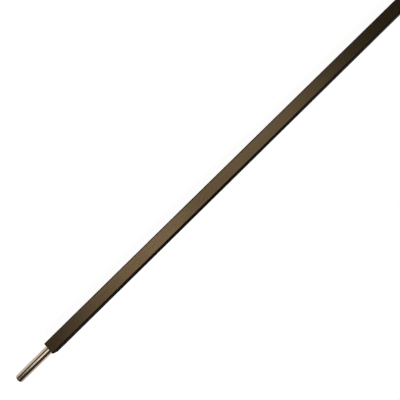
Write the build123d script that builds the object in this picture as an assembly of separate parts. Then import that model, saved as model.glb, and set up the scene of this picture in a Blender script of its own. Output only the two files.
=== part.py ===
from build123d import *

import os

# A rhythmic ribbon wand: a square metal stick with a round steel pin at its tip and a rubber grip at its butt.
#
# The wand lies along X with its tip towards +X, on the flat underside of its grip. Z is up. The origin is
# the middle of the whole length, on the surface that the wand lies on. Lengths are in millimetres.
#
# How it is put together: the stick is a thin-walled square tube. A square insert is bonded into its tip end,
# and the pin's thinner shank is bonded into the insert, up to the pin's shoulder. The grip slides over the
# butt end, and a finned cap pushes into the tube there, so that its head holds the grip on and closes the end.

# Stick: a drawn square tube.
TUBE_SIDE = 10.0
TUBE_WALL = 1.0
TUBE_LENGTH = 560.0
TUBE_CORNER = 0.85
TUBE_BORE_CORNER = 0.5
TUBE_DEBURR = 0.15

# Pin: the turned steel tip that a ribbon's swivel pushes onto, with a bonded shank behind its shoulder.
PIN_DIAMETER = 6.8
PIN_REACH = 32.2
PIN_EDGE = 0.9
SHANK_DIAMETER = 5.0
SHANK_LENGTH = 22.0
SHANK_CLEARANCE = 0.03
SHANK_CHAMFER = 0.5

# Insert: the square block inside the tube's tip end that carries the pin.
INSERT_LENGTH = 26.0
INSERT_CLEARANCE = 0.04
INSERT_CHAMFER = 0.3

# Glue grooves, turned into the shank and milled round the insert.
GLUE_GROOVE_COUNT = 2
GLUE_GROOVE_WIDTH = 1.2
GLUE_GROOVE_DEPTH = 0.25

# Grip: a moulded rubber sleeve with a tapered nose and a band of grooves.
GRIP_LENGTH = 100.0
GRIP_WALL = 2.0
GRIP_CORNER = 3.2
GRIP_CLEARANCE = 0.05
GRIP_NOSE_LENGTH = 9.0
GRIP_NOSE_WALL = 0.8
GRIP_PLAIN_END = 6.0
GRIP_GROOVE_PITCH = 8.0
GRIP_GROOVE_FLOOR = 1.2
GRIP_GROOVE_DEPTH = 0.6

# Butt cap: a head over the ends of tube and grip, and a hollow stem with sprung fins inside the tube.
CAP_HEAD = 2.5
CAP_EDGE = 1.0
CAP_STEM_LENGTH = 18.0
CAP_STEM_WALL = 0.9
CAP_STEM_GAP = 1.1
CAP_FIN_COUNT = 3
CAP_FIN_THICKNESS = 0.9
CAP_FIN_LEAD = 0.35
CAP_FIN_CLEARANCE = 0.04

# Sizes that follow from those above.
TUBE_BORE = TUBE_SIDE - 2 * TUBE_WALL
GRIP_HOLE = TUBE_SIDE + 2 * GRIP_CLEARANCE
GRIP_SIDE = GRIP_HOLE + 2 * GRIP_WALL
AXIS_HEIGHT = GRIP_SIDE / 2

# Stations along X, from the butt to the tip.
WAND_LENGTH = CAP_HEAD + TUBE_LENGTH + PIN_REACH
BUTT_FACE = -WAND_LENGTH / 2
TUBE_BUTT = BUTT_FACE + CAP_HEAD
GRIP_FRONT = TUBE_BUTT + GRIP_LENGTH
TUBE_TIP = TUBE_BUTT + TUBE_LENGTH
PIN_END = TUBE_TIP + PIN_REACH


def station(x):
    """The plane across the wand at x, facing the tip, centred on the wand's axis."""
    return Plane(origin=(x, 0, AXIS_HEIGHT), x_dir=(0, 1, 0), z_dir=(1, 0, 0))


def square_bar(start, end, side, corner):
    """A square bar with round corners, from start to end along X."""
    return extrude(station(start) * RectangleRounded(side, side, corner), end - start)


def round_bar(start, end, diameter):
    """A round bar from start to end along X."""
    return extrude(station(start) * Circle(diameter / 2), end - start)


def end_edges(solid, x):
    """The edges of solid that lie in the plane across the wand at x."""
    return solid.edges().filter_by_position(Axis.X, x, x)


def groove_starts(start, end, count, width):
    """Where count grooves of that width begin, spaced evenly between start and end with equal lands."""
    land = (end - start - count * width) / (count + 1)
    return [start + land + i * (width + land) for i in range(count)]


def make_stick_tube():
    outside = square_bar(TUBE_BUTT, TUBE_TIP, TUBE_SIDE, TUBE_CORNER)
    outside = chamfer(end_edges(outside, TUBE_TIP) + end_edges(outside, TUBE_BUTT), TUBE_DEBURR)
    return outside - square_bar(TUBE_BUTT, TUBE_TIP, TUBE_BORE, TUBE_BORE_CORNER)


def make_tip_insert():
    side = TUBE_BORE - 2 * INSERT_CLEARANCE
    corner = TUBE_BORE_CORNER
    back = TUBE_TIP - INSERT_LENGTH
    block = square_bar(back, TUBE_TIP, side, corner)
    block = chamfer(end_edges(block, back) + end_edges(block, TUBE_TIP), INSERT_CHAMFER)
    for x in groove_starts(back, TUBE_TIP, GLUE_GROOVE_COUNT, GLUE_GROOVE_WIDTH):
        around = square_bar(x, x + GLUE_GROOVE_WIDTH, side + GLUE_GROOVE_DEPTH, corner)
        floor = square_bar(x, x + GLUE_GROOVE_WIDTH, side - 2 * GLUE_GROOVE_DEPTH, corner)
        block -= around - floor
    return block - round_bar(back, TUBE_TIP, SHANK_DIAMETER + 2 * SHANK_CLEARANCE)


def make_tip_pin():
    shank_end = TUBE_TIP - SHANK_LENGTH
    shank = round_bar(shank_end, TUBE_TIP, SHANK_DIAMETER)
    shank = chamfer(end_edges(shank, shank_end), SHANK_CHAMFER)
    for x in groove_starts(shank_end, TUBE_TIP, GLUE_GROOVE_COUNT, GLUE_GROOVE_WIDTH):
        around = round_bar(x, x + GLUE_GROOVE_WIDTH, SHANK_DIAMETER + GLUE_GROOVE_DEPTH)
        floor = round_bar(x, x + GLUE_GROOVE_WIDTH, SHANK_DIAMETER - 2 * GLUE_GROOVE_DEPTH)
        shank -= around - floor
    pin = round_bar(TUBE_TIP, PIN_END, PIN_DIAMETER)
    pin = fillet(end_edges(pin, PIN_END), PIN_EDGE)
    return pin + shank


def make_grip_sleeve():
    nose_start = GRIP_FRONT - GRIP_NOSE_LENGTH
    floor_side = GRIP_SIDE - 2 * GRIP_GROOVE_DEPTH
    body = square_bar(TUBE_BUTT, nose_start, floor_side, GRIP_CORNER - GRIP_GROOVE_DEPTH)
    for start, end in grip_lands(TUBE_BUTT, nose_start):
        land = square_bar(start, end, GRIP_SIDE, GRIP_CORNER)
        sloped = [x for x in (start, end) if TUBE_BUTT < x < nose_start]
        for x in sloped:
            land = chamfer(end_edges(land, x), GRIP_GROOVE_DEPTH)
        body += land
    body += make_grip_nose(nose_start)
    return body - square_bar(TUBE_BUTT, GRIP_FRONT, GRIP_HOLE, TUBE_CORNER + GRIP_CLEARANCE)


def make_grip_nose(start):
    """The grip's front end, which thins down to the tube: a long chamfer round the end of a bar."""
    nose = square_bar(start - GRIP_PLAIN_END / 2, GRIP_FRONT, GRIP_SIDE, GRIP_CORNER)
    front = nose.faces().sort_by(Axis.X)[-1]
    return chamfer(front.edges(), GRIP_WALL - GRIP_NOSE_WALL, GRIP_NOSE_LENGTH, reference=front)


def grip_lands(start, end):
    """Where each full-height ring of the grip starts and ends, with the groove floors between them."""
    pitches = int((end - start - 2 * GRIP_PLAIN_END) / GRIP_GROOVE_PITCH)
    first = (start + end - pitches * GRIP_GROOVE_PITCH) / 2
    centres = [first + i * GRIP_GROOVE_PITCH for i in range(pitches + 1)]
    starts = [start] + [x + GRIP_GROOVE_FLOOR / 2 for x in centres]
    ends = [x - GRIP_GROOVE_FLOOR / 2 for x in centres] + [end]
    return list(zip(starts, ends))


def make_butt_cap():
    head = square_bar(BUTT_FACE, TUBE_BUTT, GRIP_SIDE, GRIP_CORNER)
    head = fillet(end_edges(head, BUTT_FACE), CAP_EDGE)
    fin_side = TUBE_BORE - 2 * CAP_FIN_CLEARANCE
    stem_side = TUBE_BORE - 2 * CAP_STEM_GAP
    stem_end = TUBE_BUTT + CAP_STEM_LENGTH
    cap = head + square_bar(TUBE_BUTT, stem_end, stem_side, TUBE_BORE_CORNER)
    for x in groove_starts(TUBE_BUTT, stem_end, CAP_FIN_COUNT, CAP_FIN_THICKNESS):
        fin_end = x + CAP_FIN_THICKNESS
        fin = square_bar(x, fin_end, fin_side, TUBE_BORE_CORNER)
        cap += chamfer(end_edges(fin, fin_end), CAP_FIN_LEAD)
    hollow_side = stem_side - 2 * CAP_STEM_WALL
    return cap - square_bar(TUBE_BUTT, stem_end, hollow_side, TUBE_BORE_CORNER / 2)


PIECES = {
    "stick_tube": make_stick_tube,
    "tip_insert": make_tip_insert,
    "tip_pin": make_tip_pin,
    "grip_sleeve": make_grip_sleeve,
    "butt_cap": make_butt_cap,
}


def main():
    os.makedirs("parts", exist_ok=True)
    for name, make in PIECES.items():
        export_step(make(), os.path.join("parts", name + ".step"))


main()
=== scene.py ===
"""A rhythmic ribbon wand on a white sweep, seen from above its tip end under soft studio boxes."""

import math

import bpy
from mathutils import Matrix, Vector


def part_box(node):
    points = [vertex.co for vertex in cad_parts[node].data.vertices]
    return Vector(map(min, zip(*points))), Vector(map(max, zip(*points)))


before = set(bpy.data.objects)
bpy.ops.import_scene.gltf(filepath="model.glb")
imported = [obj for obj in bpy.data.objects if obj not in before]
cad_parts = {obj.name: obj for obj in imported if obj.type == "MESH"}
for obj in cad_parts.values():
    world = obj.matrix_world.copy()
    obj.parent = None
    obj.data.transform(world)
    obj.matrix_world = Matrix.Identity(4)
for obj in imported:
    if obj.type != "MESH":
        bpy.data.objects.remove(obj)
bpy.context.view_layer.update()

# Places, in metres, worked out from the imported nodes.
TUBE_LOW, TUBE_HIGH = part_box("stick_tube")
TUBE_HALF = (TUBE_HIGH.z - TUBE_LOW.z) / 2
AXIS_HEIGHT = (TUBE_LOW.z + TUBE_HIGH.z) / 2
TUBE_TIP = Vector((TUBE_HIGH.x, 0, AXIS_HEIGHT))
GRIP_HALF = (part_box("grip_sleeve")[1].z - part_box("grip_sleeve")[0].z) / 2

# Camera: above the wand and a little to its +Y side. Places in metres, angles in degrees, the lens and its
# sensor in millimetres.
CAMERA_AIM = TUBE_TIP - Vector((0.1558, 0.0008, 0))
CAMERA_DISTANCE = 0.3178
CAMERA_ELEVATION = 79.52
CAMERA_HEADING = 72.35
CAMERA_ROLL = -27.09
CAMERA_LENS = 37.50
CAMERA_SENSOR = 36.0
CAMERA_NEAR = 0.01

# Overhead light boxes, all at one height: the X span and brightness of each, and the Y span they share.
BOX_HEIGHT = 0.9
BOX_Y = (-0.56, 0.17)
OVERHEAD_BOXES = {
    "butt_box": ((-0.412, 0.013), 0.93),
    "bright_box": ((0.160, 0.218), 3.56),
    "tip_box": ((0.218, 0.498), 1.03),
}

# Boxes past the tip that light only the pin: their reflection is the streak that fades along the pin.
PIN_BOX_Y = (-0.25, 0.38)
PIN_BOXES = {
    "pin_box_near": ((0.500, 0.710), 1.45),
    "pin_box_middle": ((0.710, 0.745), 1.1),
    "pin_box_far": ((0.745, 0.800), 0.2),
}

# A panel on the camera's side of the wand, which fills the shadows.
PANEL_PLACE = Vector((-0.1, 1.6, 1.1))
PANEL_TARGET = Vector((0, 0, 0))
PANEL_SIZE = (1.3, 1.3)
PANEL_BRIGHTNESS = 6.0

# The floor: a square that is cut short on the +Y side, close to the wand, where the pin shows the dim room.
FLOOR_SIDE = 2.2
FLOOR_END_Y = 0.10
FLOOR_COLOUR = 0.5
FLOOR_GLOW = 0.8

# The world: the floor's sweep, which goes on up on the -Y side, in a dim room. A direction meets the sweep if
# its Z part is under SWEEP_TOP and its Y part under -SWEEP_SIDE. Each of those edges is soft, by its blur.
SWEEP_TOP = 0.56
SWEEP_TOP_BLUR = 0.03
SWEEP_SIDE = 0.3
SWEEP_SIDE_BLUR = 0.05
SWEEP_BRIGHTNESS = 1.0
ROOM_BRIGHTNESS = 0.05

# Base colours, in linear light.
BRONZE = (0.150, 0.102, 0.054)
STEEL = (0.56, 0.45, 0.35)
ALUMINIUM = (0.42, 0.40, 0.37)
RUBBER = (0.024, 0.0225, 0.021)
PLASTIC = (0.030, 0.029, 0.028)

# Painted shade on the stick's arrises, near black: how far in from its sides it begins and is full, in
# metres, and how dark it is beside the faces.
ARRIS_PAINTED_SHADE_BEGINS = 0.00095
ARRIS_PAINTED_SHADE_FULL = 0.00075
ARRIS_PAINTED_SHADE_DARKNESS = 0.05

# The grip's handled places: how far in from its sides they begin and are full, in metres.
HANDLED_BEGINS = 0.0005
HANDLED_FULL = 0.0001

# In metres, for the heights of bumps.
MICRON = 0.000001

# Of a whole turn, for the direction of a metal's scatter.
QUARTER_TURN = 0.25


class Nodes:
    """The emptied node tree of a material or world, with short ways to add nodes and join them."""

    def __init__(self, owner):
        owner.use_nodes = True
        self.tree = owner.node_tree
        self.tree.nodes.clear()

    def node(self, kind, **values):
        node = self.tree.nodes.new(kind)
        for name, value in values.items():
            setattr(node, name, value)
        return node

    def join(self, source, target):
        self.tree.links.new(source, target)

    def feed(self, value, socket):
        """Join value to the socket if it is another node's output, or else set it there."""
        if isinstance(value, bpy.types.NodeSocket):
            self.join(value, socket)
        else:
            socket.default_value = value

    def math(self, operation, *values):
        node = self.node("ShaderNodeMath", operation=operation)
        for value, socket in zip(values, node.inputs):
            self.feed(value, socket)
        return node.outputs[0]

    def ramp(self, value, low, high, start=0.0, end=1.0):
        """A smooth step of value between low and high, from start to end."""
        node = self.node("ShaderNodeMapRange", interpolation_type="SMOOTHSTEP")
        self.feed(value, node.inputs["Value"])
        self.feed(low, node.inputs["From Min"])
        self.feed(high, node.inputs["From Max"])
        self.feed(start, node.inputs["To Min"])
        self.feed(end, node.inputs["To Max"])
        return node.outputs[0]

    def split(self, vector):
        """The X, Y and Z of a vector."""
        node = self.node("ShaderNodeSeparateXYZ")
        self.join(vector, node.inputs[0])
        return node.outputs

    def seen_directly(self):
        """1 on the rays of the camera, of gloss and of glass, and 0 on the rest."""
        path = self.node("ShaderNodeLightPath")
        total = path.outputs["Is Camera Ray"]
        for name in ("Is Glossy Ray", "Is Transmission Ray"):
            total = self.math("MAXIMUM", total, path.outputs[name])
        return total

    def show(self, shader, output_kind):
        """Join that shader to a new output of that kind."""
        self.join(shader.outputs[0], self.node(output_kind).inputs["Surface"])


class Recipe(Nodes):
    """A material with one principled shader, painted by where a point lies on the object."""

    def __init__(self, name):
        self.material = bpy.data.materials.new(name)
        super().__init__(self.material)
        self.shader = self.node("ShaderNodeBsdfPrincipled")
        self.show(self.shader, "ShaderNodeOutputMaterial")
        self.place = self.node("ShaderNodeTexCoord").outputs["Object"]

    def off_axis(self):
        """How far a point lies from the wand's axis, sideways and up or down."""
        place = self.split(self.place)
        sideways = self.math("ABSOLUTE", place["Y"])
        upward = self.math("ABSOLUTE", self.math("SUBTRACT", place["Z"], AXIS_HEIGHT))
        return sideways, upward

    def noise(self, stretch, detail=2.0, roughness=0.5):
        """Noise with that many features to the metre along X, Y and Z."""
        mapping = self.node("ShaderNodeMapping")
        mapping.inputs["Scale"].default_value = stretch
        self.join(self.place, mapping.inputs["Vector"])
        noise = self.node("ShaderNodeTexNoise")
        noise.inputs["Scale"].default_value = 1.0
        noise.inputs["Detail"].default_value = detail
        noise.inputs["Roughness"].default_value = roughness
        self.join(mapping.outputs[0], noise.inputs["Vector"])
        return noise.outputs[0]

    def blend(self, amount, first, second):
        """A colour between first and second, by amount."""
        mix = self.node("ShaderNodeMix", data_type="RGBA")
        self.feed(amount, mix.inputs["Factor"])
        for colour, name in ((first, "A_Color"), (second, "B_Color")):
            socket = next(item for item in mix.inputs if item.identifier == name)
            self.feed(colour if isinstance(colour, bpy.types.NodeSocket) else (*colour, 1), socket)
        return next(item for item in mix.outputs if item.identifier == "Result_Color")

    def bump(self, height, distance, under=None):
        """A bump of that height, up to that distance in metres, over another bump."""
        node = self.node("ShaderNodeBump")
        node.inputs["Distance"].default_value = distance
        self.join(height, node.inputs["Height"])
        if under is not None:
            self.join(under, node.inputs["Normal"])
        return node.outputs[0]

    def scatter_along_x(self, amount):
        """Gloss that spreads along X and stays sharp across it: the tangent round X, turned by a quarter."""
        tangent = self.node("ShaderNodeTangent", direction_type="RADIAL", axis="X")
        self.join(tangent.outputs[0], self.shader.inputs["Tangent"])
        self.shader.inputs["Anisotropic"].default_value = amount
        self.shader.inputs["Anisotropic Rotation"].default_value = QUARTER_TURN

    def finish(self, colour, roughness, normal, metallic=0.0, edge_tint=None):
        """Feed the shader, and give the material. The edge tint colours the gloss at grazing angles."""
        self.feed(colour, self.shader.inputs["Base Color"])
        self.feed(roughness, self.shader.inputs["Roughness"])
        self.feed(normal, self.shader.inputs["Normal"])
        self.feed(metallic, self.shader.inputs["Metallic"])
        if edge_tint is not None:
            self.shader.inputs["Specular Tint"].default_value = (*edge_tint, 1)
        return self.material


def shade(colour, factor):
    return tuple(factor * channel for channel in colour)


def make_stick_material():
    """Satin bronze anodising on a drawn tube: lines along its length, and painted shade, near black, on the
    arrises.
    """
    recipe = Recipe("bronze_anodising")
    draw_lines = recipe.noise((6, 2600, 2600), detail=1.0)
    clouds = recipe.noise((45, 160, 160), detail=3.0)
    grain = recipe.noise((3200, 3200, 3200), detail=1.0)
    line_tone = recipe.math("MULTIPLY", draw_lines, 0.45)
    cloud_tone = recipe.math("MULTIPLY", clouds, 0.55)
    tone = recipe.ramp(recipe.math("ADD", line_tone, cloud_tone), 0.3, 0.7)
    face = recipe.blend(tone, shade(BRONZE, 0.93), shade(BRONZE, 1.07))

    # Near an arris a point is far from the axis both sideways and upward. There the colour is painted shade,
    # near black, and isn't metallic.
    nearer = recipe.math("MINIMUM", *recipe.off_axis())
    arris_painted_shade = recipe.ramp(nearer, TUBE_HALF - ARRIS_PAINTED_SHADE_BEGINS, TUBE_HALF - ARRIS_PAINTED_SHADE_FULL)
    colour = recipe.blend(arris_painted_shade, face, shade(BRONZE, ARRIS_PAINTED_SHADE_DARKNESS))
    metal = recipe.math("SUBTRACT", 1.0, arris_painted_shade)
    recipe.shader.inputs["Specular IOR Level"].default_value = 0.0

    scuffs = recipe.noise((250, 1500, 1500), detail=4.0, roughness=0.7)
    roughness = recipe.ramp(scuffs, 0.35, 0.75, start=0.20, end=0.23)
    recipe.scatter_along_x(0.89)
    lines = recipe.bump(draw_lines, 0.6 * MICRON)
    normal = recipe.bump(grain, 0.6 * MICRON, lines)
    return recipe.finish(colour, roughness, normal, metallic=metal, edge_tint=(0, 0, 0))


def make_pin_material():
    """Bright plated steel: fine turning rings, a slight waviness, and small dull specks."""
    recipe = Recipe("plated_steel")
    rings = recipe.noise((5200, 60, 60), detail=1.0)
    waves = recipe.noise((420, 260, 260), detail=2.0)
    specks = recipe.ramp(recipe.noise((1500, 1500, 1500), detail=2.0), 0.62, 0.68)
    colour = recipe.blend(specks, STEEL, shade(STEEL, 0.4))
    roughness = recipe.ramp(rings, 0.3, 0.7, start=0.06, end=0.10)
    wavy = recipe.bump(waves, 30 * MICRON)
    normal = recipe.bump(rings, 1 * MICRON, wavy)
    return recipe.finish(colour, roughness, normal, metallic=1.0, edge_tint=(0.6, 0.55, 0.5))


def make_insert_material():
    """Plain milled aluminium, with the cutter's marks."""
    recipe = Recipe("milled_aluminium")
    marks = recipe.noise((300, 4200, 500), detail=1.0)
    clouds = recipe.noise((220, 220, 220), detail=3.0)
    colour = recipe.blend(recipe.ramp(clouds, 0.35, 0.65), shade(ALUMINIUM, 0.88), ALUMINIUM)
    roughness = recipe.ramp(marks, 0.3, 0.7, start=0.28, end=0.42)
    return recipe.finish(colour, roughness, recipe.bump(marks, 4 * MICRON), metallic=1.0)


def make_grip_material():
    """Matt black rubber: a fine stipple, and high places polished and dusted by the hand."""
    recipe = Recipe("grip_rubber")
    stipple = recipe.noise((2300, 2300, 2300), detail=2.0, roughness=0.6)
    clouds = recipe.noise((90, 140, 140), detail=4.0, roughness=0.6)
    farther = recipe.math("MAXIMUM", *recipe.off_axis())
    high = recipe.ramp(farther, GRIP_HALF - HANDLED_BEGINS, GRIP_HALF - HANDLED_FULL)
    handled = recipe.math("MULTIPLY", high, recipe.ramp(clouds, 0.4, 0.65))
    worn = recipe.blend(recipe.ramp(clouds, 0.35, 0.7), RUBBER, shade(RUBBER, 1.5))
    dust = recipe.math("MULTIPLY", handled, 0.5)
    colour = recipe.blend(dust, worn, shade(RUBBER, 2.2))
    roughness = recipe.ramp(handled, 0.0, 1.0, start=0.72, end=0.5)
    return recipe.finish(colour, roughness, recipe.bump(stipple, 50 * MICRON))


def make_cap_material():
    """Black moulded plastic with a fine spark-eroded texture."""
    recipe = Recipe("moulded_plastic")
    texture = recipe.noise((4200, 4200, 4200), detail=2.0)
    clouds = recipe.noise((180, 180, 180), detail=3.0)
    colour = recipe.blend(recipe.ramp(clouds, 0.35, 0.65), PLASTIC, shade(PLASTIC, 1.35))
    roughness = recipe.ramp(clouds, 0.3, 0.7, start=0.40, end=0.5)
    return recipe.finish(colour, roughness, recipe.bump(texture, 20 * MICRON))


def paint(node_name, material):
    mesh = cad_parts[node_name].data
    mesh.materials.clear()
    mesh.materials.append(material)


def paint_nodes():
    paint("stick_tube", make_stick_material())
    paint("tip_pin", make_pin_material())
    paint("tip_insert", make_insert_material())
    paint("grip_sleeve", make_grip_material())
    paint("butt_cap", make_cap_material())


def make_box(name, size, brightness, place, target):
    """A soft box at place that faces target and looks that bright, where 1 is white."""
    light = bpy.data.lights.new(name, "AREA")
    light.shape = "RECTANGLE"
    light.size, light.size_y = size
    light.energy = brightness * math.pi * size[0] * size[1]
    box = bpy.data.objects.new(name, light)
    turn = (target - place).to_track_quat("-Z", "Y").to_matrix().to_4x4()
    box.matrix_world = Matrix.Translation(place) @ turn
    box.visible_camera = False
    bpy.context.scene.collection.objects.link(box)
    return box


def make_overhead(name, x_span, y_span, brightness):
    """A soft box of those spans that faces straight down from the overhead height."""
    place = Vector((sum(x_span) / 2, sum(y_span) / 2, BOX_HEIGHT))
    size = (x_span[1] - x_span[0], y_span[1] - y_span[0])
    return make_box(name, size, brightness, place, place - Vector((0, 0, 1)))


def make_lights():
    """The overhead boxes, the pin's own boxes, whose light is linked to the pin alone, and the side panel."""
    for name, (x_span, brightness) in OVERHEAD_BOXES.items():
        make_overhead(name, x_span, BOX_Y, brightness)
    only_the_pin = bpy.data.collections.new("only_the_pin")
    only_the_pin.objects.link(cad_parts["tip_pin"])
    for name, (x_span, brightness) in PIN_BOXES.items():
        pin_box = make_overhead(name, x_span, PIN_BOX_Y, brightness)
        pin_box.light_linking.receiver_collection = only_the_pin
    make_box("side_panel", PANEL_SIZE, PANEL_BRIGHTNESS, PANEL_PLACE, PANEL_TARGET)


def make_camera():
    """The camera at its distance from its aim, turned to face it and then rolled."""
    elevation = math.radians(CAMERA_ELEVATION)
    heading = math.radians(CAMERA_HEADING)
    level = math.cos(elevation)
    away = Vector((math.cos(heading) * level, math.sin(heading) * level, math.sin(elevation)))
    data = bpy.data.cameras.new("camera")
    data.sensor_width = CAMERA_SENSOR
    data.lens = CAMERA_LENS
    data.clip_start = CAMERA_NEAR
    camera = bpy.data.objects.new("camera", data)
    turn = (-away).to_track_quat("-Z", "Y").to_matrix().to_4x4()
    roll = Matrix.Rotation(math.radians(CAMERA_ROLL), 4, "Z")
    camera.matrix_world = Matrix.Translation(CAMERA_AIM + away * CAMERA_DISTANCE) @ turn @ roll
    bpy.context.scene.collection.objects.link(camera)
    bpy.context.scene.camera = camera


def make_floor_material():
    """Matt white that takes the wand's shadow, and glows just enough to look white where it is seen."""
    material = bpy.data.materials.new("floor")
    nodes = Nodes(material)
    white = nodes.node("ShaderNodeBsdfDiffuse")
    nodes.feed((FLOOR_COLOUR, FLOOR_COLOUR, FLOOR_COLOUR, 1), white.inputs["Color"])
    glow = nodes.node("ShaderNodeEmission")
    nodes.feed(nodes.math("MULTIPLY", nodes.seen_directly(), FLOOR_GLOW), glow.inputs["Strength"])
    both = nodes.node("ShaderNodeAddShader")
    nodes.join(white.outputs[0], both.inputs[0])
    nodes.join(glow.outputs[0], both.inputs[1])
    nodes.show(both, "ShaderNodeOutputMaterial")
    return material


def make_floor():
    mesh = bpy.data.meshes.new("floor")
    half = FLOOR_SIDE / 2
    corners = [(-half, -half, 0), (half, -half, 0), (half, FLOOR_END_Y, 0), (-half, FLOOR_END_Y, 0)]
    mesh.from_pydata(corners, [], [(0, 1, 2, 3)])
    mesh.materials.append(make_floor_material())
    floor = bpy.data.objects.new("floor", mesh)
    bpy.context.scene.collection.objects.link(floor)


def make_world():
    """White behind everything for the camera; for light, the sweep's low band in a dim room."""
    world = bpy.data.worlds.new("studio")
    nodes = Nodes(world)
    direction = nodes.split(nodes.node("ShaderNodeTexCoord").outputs["Generated"])
    below_top = nodes.ramp(direction["Z"], SWEEP_TOP + SWEEP_TOP_BLUR, SWEEP_TOP - SWEEP_TOP_BLUR)
    at_side = nodes.ramp(direction["Y"], SWEEP_SIDE_BLUR - SWEEP_SIDE, -SWEEP_SIDE_BLUR - SWEEP_SIDE)
    sweep = nodes.math("MULTIPLY", below_top, at_side)
    added = nodes.math("MULTIPLY", sweep, SWEEP_BRIGHTNESS - ROOM_BRIGHTNESS)
    room = nodes.math("ADD", added, ROOM_BRIGHTNESS)

    path = nodes.node("ShaderNodeLightPath")
    background = nodes.node("ShaderNodeBackground")
    nodes.feed((1, 1, 1, 1), background.inputs["Color"])
    nodes.feed(nodes.math("MAXIMUM", room, path.outputs["Is Camera Ray"]), background.inputs["Strength"])
    nodes.show(background, "ShaderNodeOutputWorld")
    bpy.context.scene.world = world


make_camera()
make_floor()
make_world()
make_lights()
paint_nodes()
bpy.context.scene.view_settings.view_transform = "Standard"
